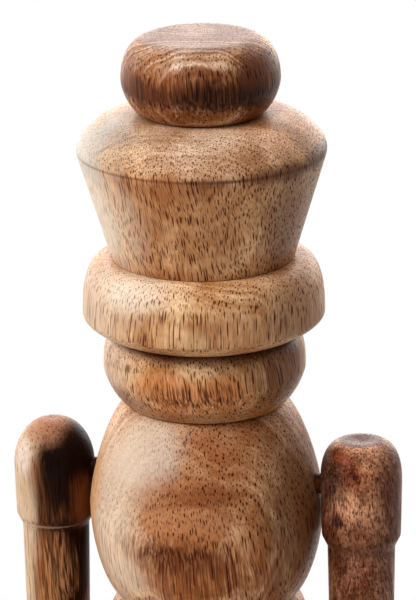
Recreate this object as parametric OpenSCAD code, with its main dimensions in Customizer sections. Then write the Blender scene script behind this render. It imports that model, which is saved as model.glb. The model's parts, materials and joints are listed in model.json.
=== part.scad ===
// Turned wooden toy soldier: a stack of beads on dowels, two arms that swing on shoulder pins,
// and two booted legs on a round stand. The figure faces -Y, and its left side is +X.

/* [Pompom] */
// Diameter of the pompom at its widest
pompom_d = 37.9; // [34:0.1:42]
// Height of the pompom
pompom_h = 18.6; // [17:0.1:21]
// Diameter of the flat disc on top of the pompom
pompom_flat_d = 22; // [16:0.1:26]
// Diameter of the face that the pompom stands on
pompom_seat_d = 27.6; // [22:0.1:30]
// Height of the widest ring above the pompom's seat
pompom_belly_h = 8.4; // [6:0.1:11]

/* [Hat] */
// Diameter of the crown at its crest
crown_d = 59.5; // [56:0.1:60]
// Height of the crown
crown_h = 35.3; // [32:0.1:40]
// Diameter of the crown where it meets the brim
crown_foot_d = 43.7; // [40:0.1:46]
// Fall of the crown's top from the pompom to the centre of its crest
crown_fall = 8.8; // [7:0.1:10]
// Radius of the rounded crest
crest_r = 4.3; // [3:0.1:5]
// Angle of the crest where the top of the crown runs into it
crest_angle = 38; // [32:1:44]
// Diameter of the brim at its widest
brim_d = 58.2; // [54:0.1:60]
// Height of the brim
brim_h = 18.5; // [17:0.1:21]
// Width of the flat ledge on the brim round the crown
brim_ledge = 0.5; // [0.3:0.1:1]
// Diameter of the brim's underside where it meets the head
brim_foot_d = 42.2; // [40:0.1:44]
// Height of the widest ring above the brim's underside
brim_belly_h = 4.5; // [4:0.1:6]

/* [Head] */
// Diameter of the head at its widest
head_d = 48.8; // [46:0.1:52]
// Height of the head
head_h = 17.8; // [17:0.1:20]
// Diameter of the head's top face
head_top_d = 40.6; // [38:0.1:42]
// Diameter of the neck, where the head meets the torso
neck_d = 37.8; // [35:0.1:40]
// Height of the widest ring above the neck
head_belly_h = 9; // [8:0.1:10]

/* [Torso] */
// Diameter of the torso at its widest
torso_d = 57; // [54:0.1:60]
// Height of the torso
torso_h = 50.3; // [47:0.1:54]
// Height of the widest ring above the waist
torso_belly_h = 23.9; // [22:0.1:26]
// Diameter of the waist, where the torso meets the hips
waist_d = 40; // [38:0.1:42]
// Depth of the arms' axis below the neck
shoulder_drop = 20; // [18:0.1:22]

/* [Hips] */
// Diameter of the hips at their widest
hips_d = 48.6; // [46:0.1:52]
// Height of the hips
hips_h = 16; // [15.6:0.1:18]
// Diameter of the face that the legs meet
hips_foot_d = 41; // [39:0.1:43]
// Height of the widest ring above that face
hips_belly_h = 9.5; // [8:0.1:11]

/* [Arms] */
// Length of an arm
arm_l = 92; // [86:0.1:98]
// Diameter of the arm's shoulder cap
cap_d = 19.8; // [19:0.1:20.6]
// Length of the shoulder cap
cap_l = 24; // [22:0.1:27]
// Height of the dome on the cap
dome_h = 10.5; // [9:0.1:12]
// Diameter of the small disc on top of the dome
cap_flat_d = 5.6; // [5:0.1:8]
// Depth to which that disc is dished
cap_dish = 0.3; // [0.2:0.1:0.5]
// Diameter of the cap at the edge of its chamfer
cap_edge_d = 19.2; // [18.2:0.1:19.6]
// Length of the chamfer below the cap
cap_chamfer = 2.8; // [2:0.1:4]
// Diameter of the sleeve below the chamfer
sleeve_d = 15.8; // [15:0.1:16.6]
// Diameter of the sleeve at the wrist
wrist_d = 14.4; // [13.6:0.1:15.6]
// Length of the hand
hand_l = 14; // [12:0.1:16]
// Diameter of the hand
hand_d = 12.2; // [11:0.1:13.4]
// Gap between the torso's widest ring and the arm
arm_gap = 0.3; // [0.3:0.05:0.6]

/* [Legs] */
// Distance between the axes of the two legs
leg_pitch = 20.8; // [20.4:0.1:21.4]
// Length of a leg between the hips and the boot
leg_l = 66; // [60:0.1:72]
// Diameter of the leg at the hips
thigh_d = 17.8; // [16:0.1:18.4]
// Diameter of the leg just above the roll at the top of the boot shaft
knee_d = 15; // [14:0.1:16]
// Diameter of the roll
roll_d = 19.4; // [18:0.1:19.8]
// Height of the roll
roll_h = 4.6; // [4:0.1:6]
// Height of the boot shaft below the roll
shaft_h = 24; // [20:0.1:30]
// Diameter of the boot shaft under the roll
shaft_d = 17; // [16:0.1:17.8]
// Diameter of the boot shaft at the ankle
ankle_d = 15; // [14:0.1:16.4]
// Width of the boot
boot_w = 19; // [18:0.1:19.8]
// Length of the boot from heel to toe
boot_l = 35; // [31:0.1:38]
// Height of the boot
boot_h = 15; // [14:0.1:17]
// Height of the boot's toe cap
toe_h = 10; // [9:0.1:12]
// Height of the upright edge round the sole
sole_h = 2.4; // [2:0.1:3]
// Diameter of the collar round the ankle
collar_d = 18.2; // [17:0.1:18.6]
// Diameter of the collar's top face
collar_top_d = 16.6; // [16:0.1:17]

/* [Stand] */
// Diameter of the stand
stand_d = 92; // [88:0.1:100]
// Height of the stand
stand_h = 12; // [11:0.1:14]
// Radius of the stand's upper edge
stand_edge_r = 4; // [3:0.1:5]
// Width of the bevel on the stand's lower edge
stand_bevel = 1; // [0.6:0.1:1.6]
// Diameter of the felt pad
pad_d = 84; // [80:0.1:86]
// Thickness of the felt pad
pad_h = 1.2; // [1:0.1:2]

/* [Fastenings] */
// Diameter of the dowels that join the beads
dowel_d = 8; // [7:0.1:9]
// Depth to which a dowel enters each bead
dowel_depth = 7; // [6:0.1:7.4]
// Diameter of the dowels at the hips and ankles
leg_dowel_d = 6; // [5:0.1:7]
// Depth to which an ankle dowel enters the boot and the leg
ankle_depth = 4; // [3:0.1:4.6]
// Diameter of the shoulder pins
pin_d = 5; // [4:0.1:6]
// Depth of a shoulder pin in the torso
pin_in_torso = 15; // [13:0.1:17]
// Depth of a shoulder pin in the arm
pin_in_arm = 12; // [10:0.1:14]
// Bevel on the ends of the dowels and pins
dowel_bevel = 0.6; // [0.4:0.1:0.8]
// Space left at the end of each blind hole
end_gap = 0.5; // [0.4:0.1:0.6]
// Radial clearance of a glued dowel
glue_gap = 0.05; // [0.03:0.01:0.08]
// Radial clearance of an arm on its shoulder pin
pin_gap = 0.05; // [0.03:0.01:0.08]
// Shank diameter of the screws that hold the boots
screw_d = 3.5; // [3:0.1:4]
// Depth of a screw in the boot
screw_depth = 8; // [7:0.1:8.6]
// Head diameter of the screws
screw_head_d = 7; // [6:0.1:8]
// Depth of the screw's countersunk head
screw_head_h = 2.2; // [2:0.1:2.6]
// Height of the rim round the screw's head
screw_rim = 0.4; // [0.3:0.1:0.6]
// Thickness of wood between the screw's head and the boot
screw_grip = 7; // [6:0.1:7.5]

/* [Hidden] */
$fn = 96;
// Number of straight steps in a quarter of a turned curve
curve_steps = 10;
// Fullness of each turned curve: 2 is an ellipse, more is squarer, and less is leaner
pompom_top_share = 2.3;
pompom_foot_share = 1.6;
brim_top_share = 2.7;
brim_foot_share = 1.45;
head_top_share = 2.7;
head_foot_share = 1.4;
torso_top_share = 1.46;
torso_foot_share = 1.77;
hips_share = 2;
roll_share = 2;
dome_share = 2.5;
hand_share = 2;
toe_share = 2.2;
collar_share = 2;
edge_share = 2;
// How far a cutting tool runs past the face that it opens
overrun = 0.4;
// Height of the hand's rounded end, as a share of the hand's length
hand_end_share = 0.45;
// Width of the flat along the toe cap, as a share of the boot's width
toe_flat_share = 0.3;

// Levels of the stack, from the floor up
stand_z = pad_h;
boot_z = stand_z + stand_h;
leg_z = boot_z + boot_h;
hips_z = leg_z + leg_l;
torso_z = hips_z + hips_h;
head_z = torso_z + torso_h;
brim_z = head_z + head_h;
crown_z = brim_z + brim_h;
pompom_z = crown_z + crown_h;
shoulder_z = head_z - shoulder_drop;

// The arms hang clear of the torso's widest ring, and swing up past the hat without touching it
hat_reach = max(crown_d, brim_d) / 2;
arm_x = max(torso_d / 2 + arm_gap + cap_d / 2, hat_reach + arm_gap + sleeve_d / 2);
pin_start = torso_d / 2 - pin_in_torso;
pin_end = arm_x - cap_d / 2 + pin_in_arm;

// A quarter of a superellipse, from a bead's end to its widest ring
function quarter(end_r, end_z, belly_r, belly_z, fullness) = [
    for (i = [0:curve_steps])
        let (a = 90 * i / curve_steps)
        [end_r + (belly_r - end_r) * pow(sin(a), 2 / fullness),
         belly_z + (end_z - belly_z) * pow(cos(a), 2 / fullness)]
];

function reversed(points) = [for (i = [len(points) - 1:-1:0]) points[i]];

// Half outline of a form with an upright foot and a rounded upper edge
function loaf_outline(h, edge_r, edge_z, top_r, fullness) = concat(
    [[0, 0], [edge_r, 0]],
    reversed(quarter(top_r, h, edge_r, edge_z, fullness)),
    [[0, h]]
);

// Half outline of a bead that stands on z = 0
function bead_outline(h, foot_r, belly_r, belly_z, top_r, foot_fullness, top_fullness) = concat(
    [[0, 0]],
    quarter(foot_r, 0, belly_r, belly_z, foot_fullness),
    [for (p = reversed(quarter(top_r, h, belly_r, belly_z, top_fullness))) if (p[1] > belly_z) p],
    [[0, h]]
);

module bead(h, foot_r, belly_r, belly_z, top_r, foot_fullness, top_fullness)
    rotate_extrude()
        polygon(bead_outline(h, foot_r, belly_r, belly_z, top_r, foot_fullness, top_fullness));

// A round pin from low to high, bevelled at both ends
module dowel(d, low, high)
    rotate_extrude()
        polygon([
            [0, low],
            [d / 2 - dowel_bevel, low],
            [d / 2, low + dowel_bevel],
            [d / 2, high - dowel_bevel],
            [d / 2 - dowel_bevel, high],
            [0, high]
        ]);

// A blind hole up or down from the face at z, for a dowel that enters by depth
module hole_up(d, z, depth)
    translate([0, 0, z - overrun])
        cylinder(d = d + 2 * glue_gap, h = overrun + depth + end_gap);

module hole_down(d, z, depth)
    translate([0, 0, z - depth - end_gap])
        cylinder(d = d + 2 * glue_gap, h = overrun + depth + end_gap);

module pompom()
    color("sienna")
        translate([0, 0, pompom_z])
            difference() {
                bead(pompom_h, pompom_seat_d / 2, pompom_d / 2, pompom_belly_h, pompom_flat_d / 2,
                    pompom_foot_share, pompom_top_share);
                hole_up(dowel_d, 0, dowel_depth);
            }

module pompom_dowel()
    color("burlywood")
        dowel(dowel_d, pompom_z - dowel_depth, pompom_z + dowel_depth);

// The crown's top falls along a power curve that runs smoothly into the rounded crest,
// and the side below is the straight line from the foot that touches the crest's circle
module crown_outline() {
    centre_r = crown_d / 2 - crest_r;
    centre_z = crown_h - crown_fall;
    start_r = centre_r + crest_r * cos(crest_angle);
    start_z = centre_z + crest_r * sin(crest_angle);
    seat_r = pompom_seat_d / 2;
    power = (start_r - seat_r) / tan(crest_angle) / (crown_h - start_z);
    away_r = centre_r - crown_foot_d / 2;
    side_angle = atan2(centre_z, away_r) - 180 + acos(crest_r / norm([away_r, centre_z]));
    polygon(concat(
        [[0, 0], [crown_foot_d / 2, 0]],
        [for (i = [0:curve_steps])
            let (a = side_angle + (crest_angle - side_angle) * i / curve_steps)
            [centre_r + crest_r * cos(a), centre_z + crest_r * sin(a)]],
        [for (i = [curve_steps - 1:-1:0])
            let (s = i / curve_steps)
            [seat_r + (start_r - seat_r) * s, crown_h - (crown_h - start_z) * pow(s, power)]],
        [[0, crown_h]]
    ));
}

module hat_crown()
    color("tan")
        translate([0, 0, crown_z])
            difference() {
                rotate_extrude() crown_outline();
                hole_up(dowel_d, 0, dowel_depth);
                hole_down(dowel_d, crown_h, dowel_depth);
            }

module hat_brim()
    color("burlywood")
        translate([0, 0, brim_z])
            difference() {
                bead(brim_h, brim_foot_d / 2, brim_d / 2, brim_belly_h, crown_foot_d / 2 + brim_ledge,
                    brim_foot_share, brim_top_share);
                hole_up(dowel_d, 0, brim_h);
            }

module hat_dowel()
    color("burlywood")
        dowel(dowel_d, brim_z - dowel_depth, crown_z + dowel_depth);

module head()
    color("peru")
        translate([0, 0, head_z])
            difference() {
                bead(head_h, neck_d / 2, head_d / 2, head_belly_h, head_top_d / 2,
                    head_foot_share, head_top_share);
                hole_up(dowel_d, 0, dowel_depth);
                hole_down(dowel_d, head_h, dowel_depth);
            }

module neck_dowel()
    color("burlywood")
        dowel(dowel_d, head_z - dowel_depth, head_z + dowel_depth);

module torso()
    color("peru")
        difference() {
            translate([0, 0, torso_z])
                difference() {
                    bead(torso_h, waist_d / 2, torso_d / 2, torso_belly_h, neck_d / 2,
                        torso_foot_share, torso_top_share);
                    hole_up(dowel_d, 0, dowel_depth);
                    hole_down(dowel_d, torso_h, dowel_depth);
                }
            for (side = [-1, 1])
                translate([side * (pin_start - end_gap), 0, shoulder_z])
                    rotate([0, side * 90, 0])
                        cylinder(d = pin_d + 2 * glue_gap, h = pin_in_torso + end_gap + overrun);
        }

module waist_dowel()
    color("burlywood")
        dowel(dowel_d, torso_z - dowel_depth, torso_z + dowel_depth);

module hips()
    color("peru")
        translate([0, 0, hips_z])
            difference() {
                bead(hips_h, hips_foot_d / 2, hips_d / 2, hips_belly_h, waist_d / 2,
                    hips_share, hips_share);
                hole_down(dowel_d, hips_h, dowel_depth);
                for (side = [-1, 1])
                    translate([side * leg_pitch / 2, 0, 0])
                        hole_up(leg_dowel_d, 0, dowel_depth);
            }

module hip_dowel(side)
    color("burlywood")
        translate([side * leg_pitch / 2, 0, 0])
            dowel(leg_dowel_d, hips_z - dowel_depth, hips_z + dowel_depth);

module leg(side)
    color("peru")
        translate([side * leg_pitch / 2, 0, leg_z])
            difference() {
                rotate_extrude()
                    polygon(concat(
                        [[0, 0], [ankle_d / 2, 0]],
                        quarter(shaft_d / 2, shaft_h, roll_d / 2, shaft_h + roll_h / 2, roll_share),
                        reversed([for (p = quarter(knee_d / 2, shaft_h + roll_h, roll_d / 2,
                            shaft_h + roll_h / 2, roll_share)) if (p[1] > shaft_h + roll_h / 2) p]),
                        [[thigh_d / 2, leg_l], [0, leg_l]]
                    ));
                hole_up(leg_dowel_d, 0, ankle_depth);
                hole_down(leg_dowel_d, leg_l, dowel_depth);
            }

module ankle_dowel(side)
    color("burlywood")
        translate([side * leg_pitch / 2, 0, 0])
            dowel(leg_dowel_d, leg_z - ankle_depth, leg_z + ankle_depth);

// The toe cap is one rounded section: drawn straight along the foot and turned round the heel and toe
module foot() {
    outline = loaf_outline(toe_h, boot_w / 2, sole_h, boot_w * toe_flat_share / 2, toe_share);
    straight = boot_l - boot_w;
    rotate([90, 0, 0])
        linear_extrude(straight)
            polygon(concat(outline, [for (p = reversed(outline)) if (p[0] > 0) [-p[0], p[1]]]));
    rotate_extrude(angle = 180) polygon(outline);
    translate([0, -straight, 0])
        rotate([0, 0, 180])
            rotate_extrude(angle = 180) polygon(outline);
}

module collar()
    rotate_extrude()
        polygon(loaf_outline(boot_h, collar_d / 2, boot_h - (collar_d - collar_top_d) / 2,
            collar_top_d / 2, collar_share));

module boot(side)
    color("saddlebrown")
        translate([side * leg_pitch / 2, 0, boot_z])
            difference() {
                union() {
                    foot();
                    collar();
                }
                hole_down(leg_dowel_d, boot_h, ankle_depth);
                translate([0, 0, -boot_z]) screw_form(glue_gap, end_gap);
            }

// A countersunk screw through the stand into the boot, with room round it where it is a hole
module screw_form(room, end_room) {
    head_z = boot_z - screw_grip - screw_head_h;
    end_z = boot_z + screw_depth + end_room;
    rotate_extrude()
        polygon([
            [0, head_z],
            [screw_head_d / 2 + room, head_z],
            [screw_head_d / 2 + room, head_z + screw_rim],
            [screw_d / 2 + room, head_z + screw_head_h],
            [screw_d / 2 + room, end_z - screw_d / 2],
            [0, end_z]
        ]);
}

module boot_screws()
    color("silver")
        for (side = [-1, 1])
            translate([side * leg_pitch / 2, 0, 0])
                screw_form(0, 0);

module stand()
    color("peru")
        difference() {
            translate([0, 0, stand_z])
                rotate_extrude()
                    polygon(concat(
                        [[0, 0], [stand_d / 2 - stand_bevel, 0], [stand_d / 2, stand_bevel]],
                        reversed(quarter(stand_d / 2 - stand_edge_r, stand_h, stand_d / 2,
                            stand_h - stand_edge_r, edge_share)),
                        [[0, stand_h]]
                    ));
            for (side = [-1, 1])
                translate([side * leg_pitch / 2, 0, 0]) {
                    screw_form(glue_gap, end_gap);
                    translate([0, 0, stand_z - overrun])
                        cylinder(d = screw_head_d + 2 * glue_gap,
                            h = overrun + stand_h - screw_grip - screw_head_h);
                }
        }

module felt_pad()
    color("darkolivegreen")
        cylinder(d = pad_d, h = pad_h);

module shoulder_pin(side)
    color("burlywood")
        translate([side * pin_start, 0, shoulder_z])
            rotate([0, side * 90, 0])
                dowel(pin_d, 0, pin_end - pin_start);

// Half outline of an arm from its fingertips up, with the shoulder pin's axis at z = 0
function arm_outline() =
    let (top = cap_l / 2, edge = top - cap_l, tip = top - arm_l, wrist = tip + hand_l)
    concat(
        quarter(0, tip, hand_d / 2, tip + hand_l * hand_end_share, hand_share),
        [[hand_d / 2, wrist],
         [wrist_d / 2, wrist + (wrist_d - hand_d) / 2],
         [sleeve_d / 2, edge - cap_chamfer],
         [cap_edge_d / 2, edge]],
        reversed(quarter(cap_flat_d / 2, top, cap_d / 2, top - dome_h, dome_share)),
        [[0, top - cap_dish]]
    );

module arm(side)
    color("saddlebrown")
        translate([side * arm_x, 0, shoulder_z])
            difference() {
                rotate_extrude() polygon(arm_outline());
                translate([-side * (cap_d / 2 + overrun), 0, 0])
                    rotate([0, side * 90, 0])
                        cylinder(d = pin_d + 2 * pin_gap, h = overrun + pin_in_arm + end_gap);
            }

pompom();
pompom_dowel();
hat_crown();
hat_brim();
hat_dowel();
head();
neck_dowel();
torso();
waist_dowel();
hips();
hip_dowel(1);  // left_hip_dowel
hip_dowel(-1);  // right_hip_dowel
leg(1);  // left_leg
leg(-1);  // right_leg
ankle_dowel(1);  // left_ankle_dowel
ankle_dowel(-1);  // right_ankle_dowel
boot(1);  // left_boot
boot(-1);  // right_boot
boot_screws();
stand();
felt_pad();
shoulder_pin(1);  // left_shoulder_pin
shoulder_pin(-1);  // right_shoulder_pin
arm(1);  // left_arm
arm(-1);  // right_arm
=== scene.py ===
import json
import math
from types import SimpleNamespace

import bmesh
import bpy
import numpy as np
from mathutils import Matrix, Vector


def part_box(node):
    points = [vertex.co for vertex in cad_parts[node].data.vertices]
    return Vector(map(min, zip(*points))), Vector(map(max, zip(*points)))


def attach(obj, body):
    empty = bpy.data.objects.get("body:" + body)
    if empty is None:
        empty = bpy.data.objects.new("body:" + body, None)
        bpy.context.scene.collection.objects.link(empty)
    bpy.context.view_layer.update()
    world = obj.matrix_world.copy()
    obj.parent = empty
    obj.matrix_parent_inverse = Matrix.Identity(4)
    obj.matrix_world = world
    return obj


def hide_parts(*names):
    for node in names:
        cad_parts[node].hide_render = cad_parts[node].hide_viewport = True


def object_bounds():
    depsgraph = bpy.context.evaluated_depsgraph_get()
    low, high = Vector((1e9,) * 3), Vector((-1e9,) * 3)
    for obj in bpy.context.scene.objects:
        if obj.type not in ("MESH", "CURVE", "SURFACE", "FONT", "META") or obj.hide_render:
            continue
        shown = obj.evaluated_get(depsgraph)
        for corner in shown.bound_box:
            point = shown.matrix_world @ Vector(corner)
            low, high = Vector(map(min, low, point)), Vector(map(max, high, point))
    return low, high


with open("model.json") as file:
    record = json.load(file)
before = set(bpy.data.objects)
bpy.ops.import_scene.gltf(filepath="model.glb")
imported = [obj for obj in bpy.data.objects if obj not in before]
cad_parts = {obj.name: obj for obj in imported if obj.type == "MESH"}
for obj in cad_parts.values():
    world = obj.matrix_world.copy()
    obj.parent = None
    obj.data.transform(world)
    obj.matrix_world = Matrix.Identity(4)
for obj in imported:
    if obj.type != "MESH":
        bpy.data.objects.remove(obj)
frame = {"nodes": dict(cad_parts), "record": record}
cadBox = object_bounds()
mm = 0.001


def bearing(azimuth, height):             # the way out from the figure: degrees from its front, degrees up
    turn, rise = math.radians(azimuth), math.radians(height)
    return Vector((math.sin(turn) * math.cos(rise), -math.cos(turn) * math.cos(rise), math.sin(rise)))


# the camera: how the photograph was taken
shot = {
    "height": 600,                        # of the photograph, in pixels
    "pixelSize": 0.24 * mm,               # what one pixel covers at the figure's axis
    "distance": 0.96, "elevation": 18, "azimuth": 14.3, "roll": 0.83,
    "aimBelowTop": 65.4 * mm,             # the middle of the picture, below the pompom's top
    "axisLeftOfMiddle": 4.05,             # pixels
    "sensor": 36,                         # millimetres
    "nearest": 0.05, "farthest": 20,
}


def placeCamera():
    print("camera")
    turn, top = math.radians(shot["azimuth"]), cadBox[1].z
    back, right = bearing(shot["azimuth"], shot["elevation"]), Vector((math.cos(turn), math.sin(turn), 0))
    aim = Vector((0, 0, top - shot["aimBelowTop"])) + right * shot["axisLeftOfMiddle"] * shot["pixelSize"]
    camera = bpy.data.objects.new("camera", bpy.data.cameras.new("camera"))
    bpy.context.scene.collection.objects.link(camera)
    camera.data.sensor_width = shot["sensor"]
    camera.data.lens = shot["sensor"] * (shot["distance"] / shot["pixelSize"]) / shot["height"]
    camera.data.clip_start, camera.data.clip_end = shot["nearest"], shot["farthest"]
    facing = (-back).to_track_quat("-Z", "Y").to_matrix().to_4x4()
    camera.matrix_world = (Matrix.Translation(aim + back * shot["distance"]) @ facing
                           @ Matrix.Rotation(math.radians(-shot["roll"]), 4, "Z"))
    bpy.context.scene.camera = camera


# shader maths: a wrapped socket, and the material or world that makes nodes for it
class Value:
    def __init__(self, paint, socket):
        self.paint, self.socket = paint, socket

    def output(self, key):                                        # another output of the same node
        return Value(self.paint, self.socket.node.outputs[key])

    def maths(self, operation, *others):
        return self.paint.node("ShaderNodeMath", {"operation": operation}, dict(enumerate(others)))

    def __add__(self, other):
        return self.maths("ADD", self, other)

    def __radd__(self, other):
        return self.maths("ADD", other, self)

    def __sub__(self, other):
        return self.maths("SUBTRACT", self, other)

    def __rsub__(self, other):
        return self.maths("SUBTRACT", other, self)

    def __mul__(self, other):
        return self.maths("MULTIPLY", self, other)

    def __rmul__(self, other):
        return self.maths("MULTIPLY", other, self)

    def __truediv__(self, other):
        return self.maths("DIVIDE", self, other)

    def __rtruediv__(self, other):
        return self.maths("DIVIDE", other, self)

    def __pow__(self, other):
        return self.maths("POWER", self, other)

    def __rpow__(self, other):
        return self.maths("POWER", other, self)


# the wood's pores: upright tubes, whose girths are shares of their radius
pores = {
    "scatter": 0.75,                      # 0 sets them out in rows, 1 at random
    "breaks": 0.12, "apart": 70,          # noise per millimetre of a tube, and its shift from tube to tube
    "open": (0.36, 0.46),                 # where that noise opens a tube
    "thinnest": 0.75, "spread": 0.5,      # girths
    "core": 0.6, "rim": 1.3,              # the edge runs from the one to the other, in girths
    "shut": 0.05,                         # keeps a tube without any girth out of sight
}


class Paint:
    def __init__(self, name, kind="materials"):
        self.owner = getattr(bpy.data, kind).new(name)
        self.owner.use_nodes = True
        self.tree = self.owner.node_tree
        self.tree.nodes.clear()

    def node(self, kind, settings=None, sockets=None, out=0):
        made = self.tree.nodes.new(kind)
        for key, value in (settings or {}).items():
            setattr(made, key, value)
        for key, value in (sockets or {}).items():
            socket = made.inputs[key]
            if isinstance(value, Value):
                self.tree.links.new(value.socket, socket)
            elif hasattr(value, "__len__") and len(value) == 3 and len(socket.default_value) == 4:
                socket.default_value = (*value, 1)
            else:
                socket.default_value = value
        return Value(self, made.outputs[out]) if len(made.outputs) else None

    def between(self, value, low, high, start=0, end=1):          # a soft step from low to high
        return self.node("ShaderNodeMapRange", {"interpolation_type": "SMOOTHSTEP"},
                         {0: value, 1: low, 2: high, 3: start, 4: end})

    def mix(self, factor, first, second):                         # colours: sockets 6 and 7, and output 2
        return self.node("ShaderNodeMix", {"data_type": "RGBA", "clamp_factor": True},
                         {0: factor, 6: first, 7: second}, 2)

    def vector(self, operation, first, second):
        return self.node("ShaderNodeVectorMath", {"operation": operation}, {0: first, 1: second})

    def scaled(self, vector, amount):
        return self.node("ShaderNodeVectorMath", {"operation": "SCALE"}, {0: vector, "Scale": amount})

    def length(self, vector):
        return self.node("ShaderNodeVectorMath", {"operation": "LENGTH"}, {0: vector}, "Value")

    def joined(self, x, y, z):
        return self.node("ShaderNodeCombineXYZ", {}, {0: x, 1: y, 2: z})

    def split(self, vector):
        made = self.node("ShaderNodeSeparateXYZ", {}, {0: vector})
        return [made.output(key) for key in "XYZ"]

    def place(self):                                              # a point of the piece, in metres
        return self.node("ShaderNodeTexCoord", out="Object")

    def looking(self):                                            # 1 for rays that show the background
        rays = self.node("ShaderNodeLightPath")
        seen, mirrored, through = (rays.output(key) for key in
                                   ("Is Camera Ray", "Is Glossy Ray", "Is Transmission Ray"))
        either = seen.maths("MAXIMUM", seen, mirrored)
        return either.maths("MAXIMUM", either, through)

    def noise(self, vector, stretch, detail=2, rough=0.5, out=0):
        return self.node("ShaderNodeTexNoise", {"noise_dimensions": "3D"},
                         {"Vector": self.vector("MULTIPLY", vector, stretch), "Scale": 1,
                          "Detail": detail, "Roughness": rough}, out)

    def layers(self, along, detail=2, rough=0.6):                 # noise along one value
        return self.node("ShaderNodeTexNoise", {"noise_dimensions": "1D"},
                         {"W": along, "Scale": 1, "Detail": detail, "Roughness": rough})

    def stems(self, x, y, z, spacing, radius, swell=1):           # pores, each broken off here and there
        made = self.node("ShaderNodeTexVoronoi", {"feature": "F1", "voronoi_dimensions": "2D"},
                         {"Vector": self.joined(x, y, 0), "Scale": 1 / spacing,
                          "Randomness": pores["scatter"]})
        chance = self.split(made.output("Color"))[0]
        life = self.layers(z * pores["breaks"] + chance * pores["apart"], 0)
        girth = (pores["thinnest"] + pores["spread"] * chance) * self.between(life, *pores["open"]) * swell
        outside = self.between(made * spacing / radius, pores["core"] * girth - pores["shut"],
                               pores["rim"] * girth)
        return 1 - outside, chance

    def finish(self, sockets, height, strength):
        sockets["Normal"] = self.node("ShaderNodeBump", {},
                                      {"Height": height, "Strength": strength, "Distance": mm})
        shader = self.node("ShaderNodeBsdfPrincipled", {}, sockets)
        self.node("ShaderNodeOutputMaterial", {}, {"Surface": shader})
        return self.owner


# the wood: long open pores and growth layers through a solid block, cut by whatever shape is turned from it
timber = {
    "light": (0.8, 0.5, 0.27), "base": (0.43, 0.18, 0.062), "deep": (0.27, 0.085, 0.026),
    "toLight": (-0.1, 0.75), "toDeep": (0.1, -0.4),               # the lightness that turns base into each
    "cloud": 1.7, "ripple": 0.25, "fibre": 0.5, "fine": 0.3,      # what each noise adds to the lightness
    "figure": 1, "paleness": 0.2,                                 # figure scales what they add
    "mottle": 0, "blot": (0.44, 0.64), "pits": (0.5, 0.62),       # dark spots, and where the noise fills them
    "shade": 0.55, "shadeFibre": 0.4, "shadeFine": 0.5,           # the brightness, and what noises add to it
    "seed": 0, "step": (37.3, 17.9, 53.1, 5.3),                   # from block to block, in x, y, z and rings
    "sway": 3, "lean": (0.05, 0.0),                               # the grain's, in millimetres and per height
    "ringWidth": 1.3, "ringContrast": 0.3,
    "pith": (14, 70), "wander": 6, "ringRipple": 0.5,             # where the rings centre, and how they stray
    "poreSpacing": 0.68, "poreRadius": 0.136,                     # millimetres
    "poreSwell": 1.6,                                             # the girth where the rings leave it alone
    "flatten": 0.7,                                               # a pore's width as a share of its depth
    "poreTint": (0.17, 0.045, 0.012), "poreLeast": 0.8,           # of the colour, and the faintest pore
    "ticks": 0.7, "tickSpacing": 0.55, "tickRadius": 0.6,         # fine pores: strength, shares of the coarse
    "tickShift": 9.1,
    "marks": 3.0,                                                 # of the turning tool, per millimetre
    "poreDepth": 0.12, "fineDepth": 0.02, "fibreDepth": 0.02, "markDepth": 0.015, "relief": 0.6,
    "roughness": 0.35, "poreRoughness": 0.2, "fineRoughness": 0.15, "gloss": 1.17,
}
# the noises, which lie round 0.5: stretch per millimetre along x, y and z, detail, roughness
grainNoises = {
    "sway": ((0.1, 0.1, 0.045), 1, 0.5), "drift": ((0.05, 0.05, 0.02), 2, 0.5),
    "cloud": ((0.1, 0.1, 0.05), 2, 0.45), "ripple": ((0.25, 0.25, 0.6), 2, 0.5),
    "fibre": ((1.3, 1.3, 0.06), 4, 0.6), "fine": ((3.2, 3.2, 0.4), 2, 0.6),
    "strands": ((2.1, 2.1, 0.12), 2, 0.6), "strandEdge": (0.38, 0.62),
    "blot": ((0.35, 0.35, 0.2), 4, 0.65), "pits": ((1.3, 1.3, 1), 3, 0.65),
}
# cream is pale wood and also painted sheen on the lit left sides; umber and tarry are dark wood and also
# painted shade on the right sides and in the pin gap
creamAndSheen, russet = (0.68, 0.53, 0.39), (0.3, 0.082, 0.02)
umberAndShade, tarryAndShade = (0.1, 0.024, 0.006), (0.02, 0.004, 0.001)

# A stain is an ellipsoid in the block, in millimetres from the piece's middle. It mixes in a colour, or
# washes the wood's own with one.
# Some of these ellipsoids are not stains but painted light: painted sheen and highlights on the lit left
# sides and tops, painted shade on the right sides and under the brim. Streak and drift make its edge ragged,
# and soft sets how wide the edge is.
# Strands leave clean wood in it as fine lines, and hides is how far it hides the pores.
plainStainAndLight = {"streak": 0.7, "drift": 0.8, "soft": 0.5}


def grownGrain(paint, here, cut):                                 # its own coordinates, its noises and rings
    x, y, z = paint.split(here)
    block = [cut["seed"] * step for step in cut["step"]]
    swayX, swayY = paint.split(paint.noise(here, *grainNoises["sway"], out="Color"))[:2]
    grain = SimpleNamespace(x=x + z * cut["lean"][0] + (swayX - 0.5) * cut["sway"] + block[0],
                            y=y + z * cut["lean"][1] + (swayY - 0.5) * cut["sway"] + block[1], z=z)
    grain.place = paint.joined(grain.x, grain.y, z + block[2])
    for layer in ("fibre", "fine", "cloud", "ripple", "drift", "strands"):
        setattr(grain, layer, paint.noise(grain.place, *grainNoises[layer]))
    grain.strands = paint.between(grain.strands, *grainNoises["strandEdge"])
    growX, growY = x - cut["pith"][0], y - cut["pith"][1]
    growth = ((growX * growX + growY * growY) ** 0.5 + (grain.drift - 0.5) * cut["wander"] * 2
              + grain.ripple * cut["ringRipple"])
    grain.rings = paint.layers(growth / cut["ringWidth"] + block[3])
    return grain


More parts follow.
